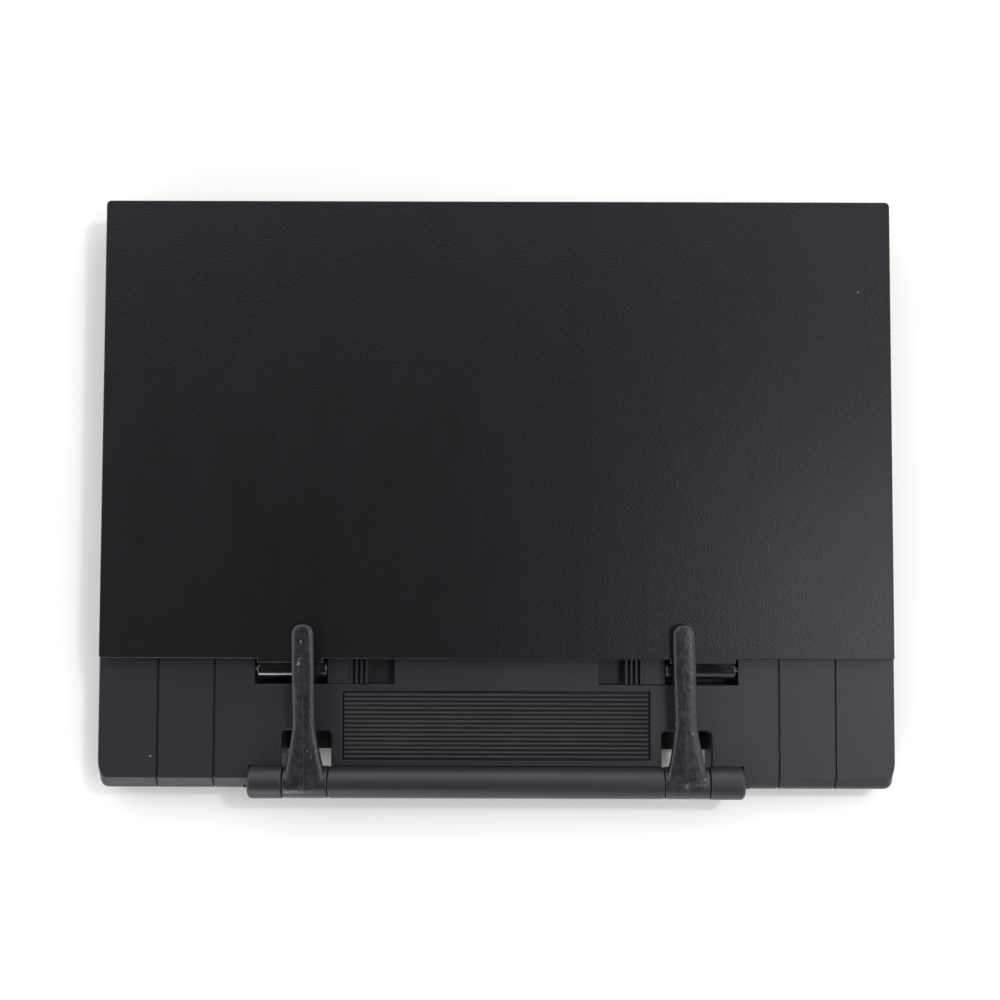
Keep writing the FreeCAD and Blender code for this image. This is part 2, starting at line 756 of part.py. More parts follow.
def knuckle(side, sign, screw_places):
    """Hinge barrel with a neck up to the plate and a tongue let into its underside."""
    body = new_body(side + "_hinge_knuckle")
    x0, x1 = span(sign, "knuckle_inner", "knuckle_outer")
    across(body, side + "_barrel", x0, f"({x1}) - ({x0})",
           circle=("hinge_line", "hinge_height", "knuckle_radius"))
    round_edges(body, side + "_barrel_ends", "knuckle_round",
                lambda edge: edge.Curve.TypeId == "Part::GeomCircle")
    x0, x1 = span(sign, "knuckle_inner + neck_inset", "knuckle_outer - neck_inset")
    blocks(body, side + "_neck", [(x0, x1, "hinge_line - neck_ahead", "hinge_line + neck_behind")],
           "hinge_height", "plate_under")
    blocks(body, side + "_tongue", [(x0, x1, "tongue_front", "tongue_back")], "plate_under", "tongue_top")
    x0, x1 = span(sign, "knuckle_inner", "knuckle_inner + latch_engagement + pin_play")
    across(body, side + "_latch_bore", x0, f"({x1}) - ({x0})", cut=True,
           circle=("hinge_line", "hinge_height", "pin_radius + pin_clearance"))
    x0, x1 = span(sign, "knuckle_outer - sleeve_length", "knuckle_outer")
    across(body, side + "_sleeve_bore", x0, f"({x1}) - ({x0})", cut=True,
           circle=("hinge_line", "hinge_height", "sleeve_radius"))
    columns(body, side + "_tongue_holes", screw_places, "small_screw_radius",
            "plate_under", "tongue_top", cut=True)
    columns(body, side + "_tongue_seats", screw_places, "small_head_radius",
            "plate_under", "small_seat", cut=True)
    return body


def on_half(sign, places):
    """The places of a list that lie on one half of the stand."""
    return [(x, y) for x, y in places if value(x) * sign > 0]


def tilt_hinge(side, sign):
    """Everything of one hinge: knuckle, pins, sleeve, latch slide with its spring, and keeper."""
    slot_keeper(side, sign, on_half(sign, KEEPER_SCREWS))
    latch_slide(side, sign)
    knuckle(side, sign, on_half(sign, KNUCKLE_SCREWS))
    x0, x1 = span(sign, "knuckle_outer - sleeve_length + pin_play", "slot_outer + pin_grip")
    outer_pin = rod_along_x(side + "_outer_pin", "pin_radius", x0, x1, "hinge_line", "hinge_height")
    keep(side + "_hinge_pin", outer_pin)
    x0, x1 = span(sign, "knuckle_outer - sleeve_length", "knuckle_outer")
    outside = rod_along_x(side + "_sleeve_outside", "sleeve_radius", x0, x1, "hinge_line", "hinge_height")
    inside = rod_along_x(side + "_sleeve_inside", "pin_radius + pin_clearance", x0, x1,
                         "hinge_line", "hinge_height")
    keep(side + "_friction_sleeve", cut(side + "_sleeve", outside, inside))
    x0, x1 = span(sign, "latch_outer - latch_socket", "latch_outer + latch_engagement")
    inner_pin = rod_along_x(side + "_inner_pin", "pin_radius", x0, x1, "hinge_line", "hinge_height")
    keep(side + "_latch_pin", inner_pin)
    x0, x1 = span(sign, "spring_wall + latch_spring_play",
                  "lug_inner + latch_spring_bore - latch_spring_play")
    coil(side + "_latch_spring", "latch_spring_radius", "latch_spring_wire", "latch_spring_turns",
         x0, x1, "hinge_line", "spring_height")


for side, sign in SIDES:
    tilt_hinge(side, sign)
screws("keeper_screws", KEEPER_SCREWS, "keeper_under", "keeper_top + keeper_screw_reach",
       "small_screw_radius", "small_head_radius", "small_head_height")
screws("knuckle_screws", KNUCKLE_SCREWS, "small_seat", "tongue_top + knuckle_screw_reach",
       "small_screw_radius", "small_head_radius", "small_head_height")

# ---------------------------------------------------------------- backrest

BACK_SCREWS = [
    (on_side(sign, x), y)
    for side, sign in SIDES
    for x in ("half_plate - post_side_inset", "post_inner")
    for y in ("plate_front + post_front_inset", "base_back - post_back_inset")
]

panel = new_body("backrest_panel")
blocks(panel, "plate_form", [("-half_plate", "half_plate", "plate_front", "base_back")],
       "plate_under", "plate_top")
round_edges(panel, "back_corners", "plate_back_corner",
            lambda edge: is_line(edge, UP) and near(edge.CenterOfMass.y, value("base_back")))
round_edges(panel, "front_corners", "plate_front_corner",
            lambda edge: is_line(edge, UP) and near(edge.CenterOfMass.y, value("plate_front")))
blocks(panel, "hinge_tabs", both_sides(
    "knuckle_inner + tab_inset", "knuckle_outer - tab_inset",
    "plate_front - hinge_tab", "plate_front + overlap",
), "plate_under", "plate_top")
round_edges(panel, "face_edge", "face_round", lambda edge: near(edge.BoundBox.ZMin, value("plate_top")))
blocks(panel, "hollow_back", [(
    "-half_plate + plate_rim", "half_plate - plate_rim", "plate_front + plate_rim", "base_back - plate_rim",
)], "plate_under", "skin_under", cut=True)
blocks(panel, "hinge_seats", both_sides(
    "knuckle_inner - seat_margin", "knuckle_outer + seat_margin", "plate_front + overlap", "seat_back",
), "plate_under", "into_skin")
blocks(panel, "long_ribs", [
    ("-half_plate + overlap", "half_plate - overlap",
     f"{y} - plate_rib_thickness / 2", f"{y} + plate_rib_thickness / 2")
    for y in ("plate_front + plate_rib_inset", "base_back - plate_rib_inset")
], "rear_cover_top", "into_skin")
blocks(panel, "cross_ribs", [
    (f"{x} - plate_rib_thickness / 2", f"{x} + plate_rib_thickness / 2",
     "plate_front + overlap", "base_back - overlap")
    for x in ("-plate_rib_outer", "-plate_rib_inner", "plate_rib_inner", "plate_rib_outer")
], "rear_cover_top", "into_skin")
columns(panel, "cover_posts", BACK_SCREWS, "post_radius", "rear_cover_top", "into_skin")
columns(panel, "post_holes", BACK_SCREWS, "small_screw_radius",
        "rear_cover_top", "rear_cover_top + post_screw_reach", cut=True)
blocks(panel, "tongue_seats", both_sides(
    "knuckle_inner + neck_inset", "knuckle_outer - neck_inset", "tongue_front", "tongue_back",
), "plate_under", "tongue_top", cut=True)
columns(panel, "knuckle_screw_holes", KNUCKLE_SCREWS, "small_screw_radius",
        "tongue_top", "tongue_top + knuckle_screw_reach", cut=True)

rear_cover = new_body("backrest_rear_cover")
blocks(rear_cover, "rear_sheet", [(
    "-half_plate + plate_rim + cover_gap", "half_plate - plate_rim - cover_gap",
    "plate_front + plate_rim + cover_gap", "base_back - plate_rim - cover_gap",
)], "plate_under", "rear_cover_top")
blocks(rear_cover, "hinge_notches", both_sides(
    "knuckle_inner - seat_margin - cover_gap", "knuckle_outer + seat_margin + cover_gap",
    "plate_front + overlap", "seat_back + cover_gap",
), "plate_under", "rear_cover_top", cut=True)
columns(rear_cover, "rear_screw_holes", BACK_SCREWS, "small_screw_radius",
        "plate_under", "rear_cover_top", cut=True)
columns(rear_cover, "rear_head_seats", BACK_SCREWS, "small_head_radius",
        "plate_under", "small_seat", cut=True)
screws("backrest_screws", BACK_SCREWS, "small_seat", "rear_cover_top + post_screw_reach",
       "small_screw_radius", "small_head_radius", "small_head_height")

BUMPER_PLACES = [
    (on_side(sign, "half_plate - bumper_side_inset"), y)
    for side, sign in SIDES
    for y in ("plate_front + bumper_end_inset", "base_back - bumper_end_inset")
]
group("backrest_bumpers", [
    upright(f"bumper_{number}", "bumper_radius", x, y, "base_height", "plate_under")
    for number, (x, y) in enumerate(BUMPER_PLACES, start=1)
])

# ---------------------------------------------------------------- front roll, rod and page arms

ROD_END = "cap_outer - cap_end_wall - pin_clearance"
front_rod = rod_along_x("roll_rod", "rod_radius", f"-({ROD_END})", ROD_END, "roll_line", "roll_height")
keep("front_rod", front_rod)
ROD_BORE = ("roll_line", "roll_height", "rod_radius + pin_clearance")


def keyed_roll(name, low, high, radius, key_span, low_round, high_round):
    """Round cover on the rod with a key that sits in the base."""
    key_low, key_high = key_span
    body = new_body(name)
    across(body, name + "_round", low, f"({high}) - ({low})", circle=("roll_line", "roll_height", radius))
    for number, (end, rounding) in enumerate(((low, low_round), (high, high_round)), start=1):
        place_x = value(end)
        round_edges(body, f"{name}_end_{number}", rounding, lambda edge: (
            edge.Curve.TypeId == "Part::GeomCircle" and near(edge.CenterOfMass.x, place_x)
        ))
    blocks(body, name + "_key", [
        (key_low, key_high, "roll_line - roll_key / 2", "roll_line + roll_key / 2"),
    ], "key_under", "roll_height - roll_radius + overlap")
    return body


front_roll = keyed_roll("front_roll", "-roll_end", "roll_end", "roll_radius", KEY_SPANS[0],
                        "end_round", "end_round")
across(front_roll, "roll_bore", "-roll_end", "2 * roll_end", circle=ROD_BORE, cut=True)
for (side, sign), key in zip(SIDES, KEY_SPANS[1:]):
    low, high = span(sign, "cap_inner", "cap_outer")
    rounds = ("end_round", "cap_round") if sign > 0 else ("cap_round", "end_round")
    cap = keyed_roll(side + "_rod_cap", low, high, "cap_radius", key, *rounds)
    low, high = span(sign, "cap_inner", "cap_outer - cap_end_wall")
    across(cap, side + "_cap_bore", low, f"({high}) - ({low})", circle=ROD_BORE, cut=True)


def side_scoop(body, name, sign, centre):
    """Cut one side of the arm to its narrow width, with a round flare out to the barrel."""
    sketch = sketch_on(body, name, "XY_Plane", "foot_height")
    edge_x = f"({centre}) + {sign} * arm_width / 2"
    wide_x = f"({centre}) + {sign} * barrel_length / 2"
    clear_x = f"({centre}) + {sign} * (barrel_length / 2 + overcut)"
    start_y, flare_y, end_y = "flare_front", "flare_back", "arm_end + overcut"
    spots = [(wide_x, start_y), (clear_x, start_y), (clear_x, end_y), (edge_x, end_y), (edge_x, flare_y)]
    points = [Vector(value(x), value(y), 0) for x, y in spots]
    for i in range(4):
        sketch.addGeometry(Part.LineSegment(points[i], points[i + 1]))
        bind_point(sketch, i, 1, *spots[i])
    for i in range(3):
        sketch.addConstraint(Sketcher.Constraint("Coincident", i, 2, i + 1, 1))
    bind_point(sketch, 3, 2, *spots[4])
    run = points[4].y - points[0].y
    rise = abs(points[0].x - points[4].x)
    radius = (run * run + rise * rise) / (2 * rise)
    middle = Vector(points[4].x + sign * radius, points[4].y, 0)
    sweep = math.asin(run / radius)
    if sign > 0:
        turns, flare_vertex, barrel_vertex = (math.pi, math.pi + sweep), 1, 2
    else:
        turns, flare_vertex, barrel_vertex = (-sweep, 0.0), 2, 1
    sketch.addGeometry(Part.ArcOfCircle(Part.Circle(middle, UP, radius), *turns))
    sketch.addConstraint(Sketcher.Constraint("Coincident", 4, barrel_vertex, 0, 1))
    sketch.addConstraint(Sketcher.Constraint("Tangent", 4, flare_vertex, 3, 2))
    return extrude(body, name, sketch, "arm_top", True)


def page_arm(side, sign):
    """Flat finger that reaches back over the plate from a barrel on the rod."""
    body = new_body(side + "_page_arm")
    low, high = span(sign, "barrel_inner", "barrel_outer")
    length = f"({high}) - ({low})"
    across(body, side + "_finger", low, length, outline=[
        ("finger_root", "finger_top"),
        ("arm_end", "arm_top"),
        ("arm_end", "arm_under"),
        ("plate_front - finger_bend", "arm_under"),
        ("roll_line + finger_neck_run", "roll_height + finger_neck_rise"),
        ("roll_line + finger_root_run", "roll_height + finger_root_rise"),
    ])
    centre = on_side(sign, "barrel_centre")
    for number, way in enumerate((-1, 1), start=1):
        side_scoop(body, f"{side}_flare_{number}", way, centre)
    round_edges(body, side + "_tip_corners", "tip_round",
                lambda edge: is_line(edge, UP) and near(edge.CenterOfMass.y, value("arm_end")))
    top_slope = value("(arm_top - finger_top) / (arm_end - finger_root)")

    tip_y, tip_z = value("arm_end"), value("arm_top")

    def rims_the_top(edge):
        on_top = all(near(spot.Z, tip_z - top_slope * (tip_y - spot.Y)) for spot in edge.Vertexes)
        return on_top and not near(edge.BoundBox.YMax, value("finger_root"))

    round_edges(body, side + "_finger_edges", "finger_round", rims_the_top)
    across(body, side + "_arm_barrel", low, length, circle=("roll_line", "roll_height", "roll_radius"))
    across(body, side + "_hub_bore", low, length, cut=True,
           circle=("roll_line", "roll_height", "hub_radius + pin_clearance"))
    low, high = span(sign, "barrel_inner", "barrel_inner + arm_spring_pocket")
    across(body, side + "_spring_pocket", low, f"({high}) - ({low})", cut=True,
           circle=("roll_line", "roll_height",
                   "arm_spring_radius + arm_spring_wire / 2 + arm_spring_clearance"))
    return body


def arm_hub(side, sign):
    """Sleeve on the rod that carries one end of the arm's spring."""
    low, high = span(sign, "barrel_inner + hub_play", "barrel_outer - hub_play")
    outside = rod_along_x(side + "_hub_outside", "hub_radius", low, high, "roll_line", "roll_height")
    inside = rod_along_x(side + "_hub_inside", "rod_radius + pin_clearance", low, high,
                         "roll_line", "roll_height")
    keep(side + "_arm_hub", cut(side + "_hub", outside, inside))


for side, sign in SIDES:
    page_arm(side, sign)
    arm_hub(side, sign)
    low, high = span(sign, "barrel_inner + arm_spring_inset",
                     "barrel_inner + arm_spring_pocket - arm_spring_inset")
    coil(side + "_arm_spring", "arm_spring_radius", "arm_spring_wire", "arm_spring_turns",
         low, high, "roll_line", "roll_height")

# ---------------------------------------------------------------- checks and files

doc.recompute()
for item in doc.Objects:
    if {"Invalid", "Error"} & set(item.State):
        raise RuntimeError(f"{item.Label} failed: {item.State}")
for name, piece in parts.items():
    if piece.Shape.isNull() or not piece.Shape.isValid():
        raise RuntimeError(f"{name} has no valid shape")

os.makedirs("parts", exist_ok=True)
for name, piece in parts.items():
    piece.Shape.exportStep(f"parts/{name}.step")
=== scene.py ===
import json
import math

import bmesh
import bpy
from mathutils import Matrix, Vector


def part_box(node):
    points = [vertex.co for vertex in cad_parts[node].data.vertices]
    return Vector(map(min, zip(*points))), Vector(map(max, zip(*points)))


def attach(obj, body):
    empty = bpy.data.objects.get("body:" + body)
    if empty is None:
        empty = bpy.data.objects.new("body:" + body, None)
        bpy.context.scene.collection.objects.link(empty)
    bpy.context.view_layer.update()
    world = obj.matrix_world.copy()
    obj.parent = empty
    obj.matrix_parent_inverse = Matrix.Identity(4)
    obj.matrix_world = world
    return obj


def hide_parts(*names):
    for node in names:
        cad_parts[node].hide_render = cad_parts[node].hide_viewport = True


# Folding album stand, seen from above in its folded state. Metres, in the frame of the CAD model.

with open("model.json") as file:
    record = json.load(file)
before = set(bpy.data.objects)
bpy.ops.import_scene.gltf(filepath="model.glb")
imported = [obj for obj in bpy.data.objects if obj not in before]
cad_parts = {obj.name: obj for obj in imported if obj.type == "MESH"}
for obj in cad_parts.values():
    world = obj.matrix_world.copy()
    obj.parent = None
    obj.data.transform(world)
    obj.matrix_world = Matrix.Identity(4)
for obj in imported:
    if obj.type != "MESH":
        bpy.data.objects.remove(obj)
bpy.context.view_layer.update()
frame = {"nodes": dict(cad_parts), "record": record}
MM = 0.001
SIDES = ("left", "right")


# ---------------------------------------------------------------- camera

CAMERA_PLACE = Vector((1.7, -19.8, 475.5)) * MM
CAMERA_TILT = 0.042
CAMERA_PAN = 0.001
CAMERA_ROLL = 0.003
SENSOR_WIDTH = 36.0
LENS_RATIO = 1.1
CLIP_NEAR = 0.01
CLIP_FAR = 20.0


def make_camera():
    data = bpy.data.cameras.new("camera")
    data.sensor_width = SENSOR_WIDTH
    data.lens = data.sensor_width * LENS_RATIO
    data.clip_start = CLIP_NEAR
    data.clip_end = CLIP_FAR
    camera = bpy.data.objects.new("camera", data)
    turn = (
        Matrix.Rotation(CAMERA_TILT, 4, "X")
        @ Matrix.Rotation(CAMERA_PAN, 4, "Y")
        @ Matrix.Rotation(CAMERA_ROLL, 4, "Z")
    )
    camera.matrix_world = Matrix.Translation(CAMERA_PLACE) @ turn
    bpy.context.scene.collection.objects.link(camera)
    bpy.context.scene.camera = camera


make_camera()


# ---------------------------------------------------------------- shader building

RANGE_SOCKETS = ("From Min", "From Max", "To Min", "To Max")


class Shader:
    """A material under construction: a Principled shader and short calls that add nodes to it."""

    def __init__(self, name, **constants):
        self.material = bpy.data.materials.new(name)
        self.material.use_nodes = True
        self.tree = self.material.node_tree
        self.surface = self.tree.nodes["Principled BSDF"]
        for socket, number in constants.items():
            self.surface.inputs[socket.replace("_", " ")].default_value = number
        self.place = self.add("ShaderNodeTexCoord").outputs["Object"]

    def add(self, kind, settings=None, **inputs):
        node = self.tree.nodes.new(kind)
        for key, setting in (settings or {}).items():
            setattr(node, key, setting)
        for socket, given in inputs.items():
            self.feed(node.inputs[socket.replace("_", " ")], given)
        return node

    def feed(self, socket, given):
        if isinstance(given, bpy.types.NodeSocket):
            self.tree.links.new(given, socket)
        else:
            socket.default_value = given

    def noise(self, scale, detail=2.0, roughness=0.5, stretch=None):
        place = self.place
        if stretch:
            mapping = self.add("ShaderNodeMapping", Vector=place, Scale=stretch)
            place = mapping.outputs["Vector"]
        node = self.add("ShaderNodeTexNoise", Vector=place, Scale=scale, Detail=detail, Roughness=roughness)
        return node.outputs["Fac"]

    def remap(self, value, low, high, to_low=0.0, to_high=1.0):
        node = self.add("ShaderNodeMapRange", Value=value)
        for socket, number in zip(RANGE_SOCKETS, (low, high, to_low, to_high)):
            node.inputs[socket].default_value = number
        return node.outputs["Result"]

    def maths(self, operation, first, second):
        node = self.add("ShaderNodeMath", {"operation": operation})
        self.feed(node.inputs[0], first)
        self.feed(node.inputs[1], second)
        return node.outputs["Value"]

    def mix(self, factor, first, second):
        node = self.add("ShaderNodeMix", {"data_type": "RGBA"})
        self.feed(node.inputs["Factor"], factor)
        self.feed(node.inputs[6], first)
        self.feed(node.inputs[7], second)
        return node.outputs[2]

    def specks(self, cell, size, share):
        """Rare small flecks: 1 inside a fleck, 0 elsewhere. cell and size are lengths in metres."""
        node = self.add("ShaderNodeTexVoronoi", Vector=self.place, Scale=1 / cell)
        chosen = self.add("ShaderNodeSeparateColor", Color=node.outputs["Color"])
        inside = self.remap(node.outputs["Distance"], size / cell, 0.4 * size / cell)
        picked = self.maths("LESS_THAN", chosen.outputs["Red"], share)
        return self.maths("MULTIPLY", inside, picked)

    def bump(self, height, distance, strength=1.0, under=None):
        node = self.add("ShaderNodeBump", Height=height, Distance=distance, Strength=strength)
        if under:
            self.feed(node.inputs["Normal"], under)
        return node.outputs["Normal"]

    def finish(self, colour=None, roughness=None, normal=None):
        for socket, given in (("Base Color", colour), ("Roughness", roughness), ("Normal", normal)):
            if given is not None:
                self.feed(self.surface.inputs[socket], given)
        return self.material


def grey(level, blue=1.18):
    return (level, level, level * blue, 1.0)


# ---------------------------------------------------------------- materials

SHEEN = (0.86, 0.88, 1.0, 1.0)
PAD_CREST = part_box("ribbed_pad")[1].z
PAD_SHADE_DEPTH = 0.9 * MM
DUST_COLOUR = (0.42, 0.38, 0.28, 1.0)
COARSE_DUST = (0.021, 0.0005, 0.2)
FINE_DUST = (0.0085, 0.00024, 0.07)
NYLON_TONES = ((0.55, 0.53, 0.46, 1.0), (0.7, 0.68, 0.6, 1.0))
TABLE_TONES = ((0.88, 0.88, 0.87, 1.0), (0.92, 0.92, 0.91, 1.0))


def moulded_plastic(name, level, roughness, grain, depth):
    """Black plastic from a spark-eroded mould: fine pebble grain, faint handling marks, dust."""
    made = Shader(name, IOR=1.5, Specular_Tint=SHEEN)
    pebble = made.noise(1 / grain, detail=1.5, roughness=0.6)
    patches = made.noise(14.0, detail=4.0, roughness=0.6)
    rubbed = made.noise(45.0, detail=5.0, roughness=0.65, stretch=(1.0, 0.35, 1.0))
    dust = made.maths("MAXIMUM", made.specks(*COARSE_DUST), made.specks(*FINE_DUST))
    tone = made.mix(made.remap(patches, 0.35, 0.7), grey(level * 0.93), grey(level * 1.08))
    tone = made.mix(made.remap(pebble, 0.35, 0.72, 0.0, 0.3), tone, grey(level * 1.6))
    tone = made.mix(made.maths("MULTIPLY", dust, 0.6), tone, DUST_COLOUR)
    rough = made.remap(rubbed, 0.3, 0.72, roughness - 0.015, roughness + 0.02)
    grain_normal = made.bump(pebble, depth)
    normal = made.bump(patches, 0.0001, 0.2, grain_normal)
    return made.finish(tone, rough, normal)


def scuffed_plastic(name, level):
    """Satin moulding that is handled a lot: blotchy sheen, dents, fine scratches and pale scuffs."""
    made = Shader(name, IOR=1.52, Specular_Tint=SHEEN)
    blotches = made.noise(300.0, detail=5.0, roughness=0.68)
    dents = made.noise(620.0, detail=2.0, roughness=0.55, stretch=(1.0, 0.6, 1.0))
    streaks = made.noise(1500.0, detail=2.0, roughness=0.6, stretch=(1.0, 0.12, 1.0))
    chips = made.noise(430.0, detail=3.0, roughness=0.7, stretch=(1.0, 0.5, 1.0))
    where = made.noise(85.0, detail=1.0, roughness=0.5)
    scuff = made.maths("MULTIPLY", made.remap(chips, 0.63, 0.7), made.remap(where, 0.5, 0.58))
    tone = made.mix(made.remap(blotches, 0.34, 0.66), grey(level * 0.65), grey(level * 1.5))
    tone = made.mix(made.remap(streaks, 0.5, 0.75, 0.0, 0.4), tone, grey(level * 3.0))
    tone = made.mix(made.maths("MULTIPLY", scuff, 0.6), tone, grey(0.3, 1.04))
    rough = made.remap(blotches, 0.34, 0.66, 0.27, 0.42)
    normal = made.bump(dents, 0.0002, 0.7)
    normal = made.bump(streaks, 0.00005, 0.5, normal)
    return made.finish(tone, rough, normal)


def gloss_plastic(name):
    """Polished black hinge barrels, with faint swirl marks."""
    made = Shader(name, IOR=1.52, Specular_Tint=SHEEN, Coat_Weight=0.4, Coat_Roughness=0.04)
    swirls = made.noise(600.0, detail=3.0, roughness=0.6, stretch=(0.2, 1.0, 1.0))
    tone = made.mix(made.remap(swirls, 0.4, 0.7), grey(0.008), grey(0.016))
    rough = made.remap(swirls, 0.35, 0.7, 0.1, 0.2)
    return made.finish(tone, rough, made.bump(swirls, 0.00002, 0.3))


def rubber(name, level):
    """Matt moulded rubber with a dusty bloom, and painted shade that makes it darker down between ribs."""
    made = Shader(name, IOR=1.48, Specular_Tint=SHEEN)
    bloom = made.noise(60.0, detail=4.0, roughness=0.65)
    fine = made.noise(2600.0, detail=1.5, roughness=0.6)
    height = made.add("ShaderNodeSeparateXYZ", Vector=made.place).outputs["Z"]
    # Painted shade: the colour darkens from the rib crests down into the valleys between the ribs.
    rib_shade_mask = made.remap(height, PAD_CREST - PAD_SHADE_DEPTH, PAD_CREST, 0.25, 1.0)
    tone = made.mix(made.remap(bloom, 0.35, 0.7), grey(level * 0.85, 1.04), grey(level * 1.3, 1.04))
    tone = made.mix(rib_shade_mask, grey(level * 0.2), tone)
    rough = made.remap(bloom, 0.3, 0.7, 0.6, 0.72)
    return made.finish(tone, rough, made.bump(fine, 0.00003, 0.6))


def steel(name, level, roughness, along):
    """Drawn or ground steel: streaks along the piece."""
    made = Shader(name, Metallic=1.0)
    drawn = made.noise(2400.0, detail=2.0, roughness=0.6, stretch=along)
    cloud = made.noise(90.0, detail=3.0, roughness=0.6)
    tone = made.mix(made.remap(cloud, 0.3, 0.7), grey(level * 0.85, 1.02), grey(level * 1.1, 1.02))
    rough = made.remap(drawn, 0.3, 0.7, roughness - 0.08, roughness + 0.1)
    return made.finish(tone, rough, made.bump(drawn, 0.00001, 0.5))


def nylon(name):
    """Natural nylon, slightly waxy."""
    made = Shader(name, IOR=1.53, Subsurface_Weight=0.15)
    cloud = made.noise(220.0, detail=3.0, roughness=0.6)
    tone = made.mix(made.remap(cloud, 0.3, 0.7), *NYLON_TONES)
    rough = made.remap(cloud, 0.3, 0.7, 0.38, 0.5)
    return made.finish(tone, rough, made.bump(cloud, 0.0001, 0.3))


def table_top():
    """Smooth pale table under the stand."""
    made = Shader("table_top")
    cloud = made.noise(3.0, detail=3.0, roughness=0.5)
    tone = made.mix(made.remap(cloud, 0.3, 0.7), *TABLE_TONES)
    return made.finish(tone, made.remap(cloud, 0.3, 0.7, 0.7, 0.8))


MATERIALS = {
    "base_plastic": moulded_plastic("base_plastic", 0.015, 0.42, 0.00052, 0.00009),
    "plate_plastic": moulded_plastic("plate_plastic", 0.004, 0.35, 0.0006, 0.00011),
    "arm_plastic": scuffed_plastic("arm_plastic", 0.013),
    "gloss_plastic": gloss_plastic("gloss_plastic"),
    "rubber": rubber("rubber", 0.018),
    "steel": steel("steel", 0.62, 0.25, (0.05, 1.0, 1.0)),
    "spring_steel": steel("spring_steel", 0.5, 0.3, (1.0, 1.0, 1.0)),
    "nylon": nylon("nylon"),
    "screw_steel": steel("screw_steel", 0.12, 0.4, (1.0, 1.0, 1.0)),
}


def dress_cad_nodes():
    """Every carried-over node takes the material of its slot in the record."""
    slots = {part["node"]: part["material_slot"] for part in frame["record"]["subparts"]}
    for name, node in frame["nodes"].items():
        node.data.materials.clear()
        node.data.materials.append(MATERIALS[slots[name]])


dress_cad_nodes()


# ---------------------------------------------------------------- mesh helpers

def finished(name, mesh, body, slot, *nodes):
    """Link a mesh, dress it, tie it to a body and let it stand for the named nodes."""
    mesh.normal_update()
    data = bpy.data.meshes.new(name)
    mesh.to_mesh(data)
    mesh.free()
    piece = bpy.data.objects.new(name, data)
    bpy.context.scene.collection.objects.link(piece)
    data.materials.append(MATERIALS[slot])
    for face in data.polygons:
        face.use_smooth = True
    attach(piece, body)
    if nodes:
        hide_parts(*nodes)
    return piece


def loft(mesh, rings):
    """Skin a list of rings that have the same number of points, and close both ends."""
    rows = [[mesh.verts.new(point) for point in ring] for ring in rings]
    count = len(rows[0])
    for lower, upper in zip(rows, rows[1:]):
        for i in range(count):
            j = (i + 1) % count
            mesh.faces.new((lower[i], lower[j], upper[j], upper[i]))
    mesh.faces.new(list(reversed(rows[0])))
    mesh.faces.new(rows[-1])


# ---------------------------------------------------------------- ribbed pad

RIBS = 15
RIB_STEPS = 10
RIB_HEIGHT = 1.25 * MM
RIB_ROUNDNESS = 0.75
PAD_EDGE = 0.5 * MM
PAD_END_STEPS = (0.0, 0.15 * MM, PAD_EDGE, 1.2 * MM)
PAD_END_DROPS = (0.55, 0.2, 0.06, 0.0)
PAD_END_SINK = 0.25 * MM
PAD_RIM_STEEPNESS = 3.0
PAD_RIM_START = 0.5
PAD_RIM_LOWERING = 0.1


def ribbed_pad():
    """Rubber strip whose rounded ribs run across the stand and taper down at their ends."""
    low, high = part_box("ribbed_pad")
    depth = high.y - low.y
    pitch = depth / RIBS
    valley = high.z - RIB_HEIGHT
    across = [low.x + step for step in PAD_END_STEPS]
    across += [high.x + low.x - x for x in reversed(across)]
    mesh = bmesh.new()
    rings = []
    for x, drop in zip(across, PAD_END_DROPS + PAD_END_DROPS[::-1]):
        ring = [Vector((x, high.y, low.z)), Vector((x, low.y, low.z))]
        for step in range(RIBS * RIB_STEPS + 1):
            phase = step / RIB_STEPS
            y = low.y + phase * pitch
            wave = abs(math.sin(math.pi * phase)) ** RIB_ROUNDNESS
            from_edge = min(y - low.y, high.y - y) / PAD_EDGE
            rim = min(1.0, PAD_RIM_STEEPNESS * from_edge + PAD_RIM_START)
            height = valley + (high.z - valley) * wave * (1 - drop) - low.z
            height *= 1 - PAD_RIM_LOWERING + PAD_RIM_LOWERING * rim
            ring.append(Vector((x, y, low.z + height - PAD_END_SINK * drop)))
        rings.append(ring)
    loft(mesh, rings)
    bmesh.ops.recalc_face_normals(mesh, faces=mesh.faces)
    return finished("ribbed_pad_rubber", mesh, "base", "rubber", "ribbed_pad")


ribbed_pad()


# ---------------------------------------------------------------- page arms

BARREL_RADIUS = 6.5 * MM
BARREL_BORE = 3.3 * MM
BARREL_SOFT = 0.5 * MM
BARREL_SOFT_STEPS = 6
BARREL_POINTS = 96

FINGER_HALF_WIDTH = 4.55 * MM
FINGER_THICKNESS = 4.15 * MM
ROOT_HALF_WIDTH = 8.3 * MM
FLARE_START = 3.0 * MM
FLARE_END = 25.5 * MM
FLARE_CURVE = 1.35
FINGER_LEAN = {"left": -0.8 * MM, "right": -2.1 * MM}
FINGER_START = -1.6 * MM
TIP_CLEARANCE = 0.02 * MM

START_SINK = 0.3 * MM
SHOULDER_AT, SHOULDER_SINK = 0.5 * MM, 0.06 * MM
CREST_AT, CREST_RISE = 6.0 * MM, 0.22 * MM
START_UNDER = 0.5 * MM
NECK_AT, NECK_UNDER = 9.0 * MM, 1.75 * MM
BEND_AT = 47.4 * MM

TIP_ROUND = 4.4 * MM
TIP_WIDTH, TIP_WIDTH_POWER = 0.04, 0.85
TIP_THICKNESS, TIP_THICKNESS_POWER = 0.3, 0.5
SECTION_POINTS = 48
SECTION_POWER = 2.7
SECTION_POWER_GAIN = 2.2
FINGER_STATIONS = 80
STATION_CROWDING = 1.6

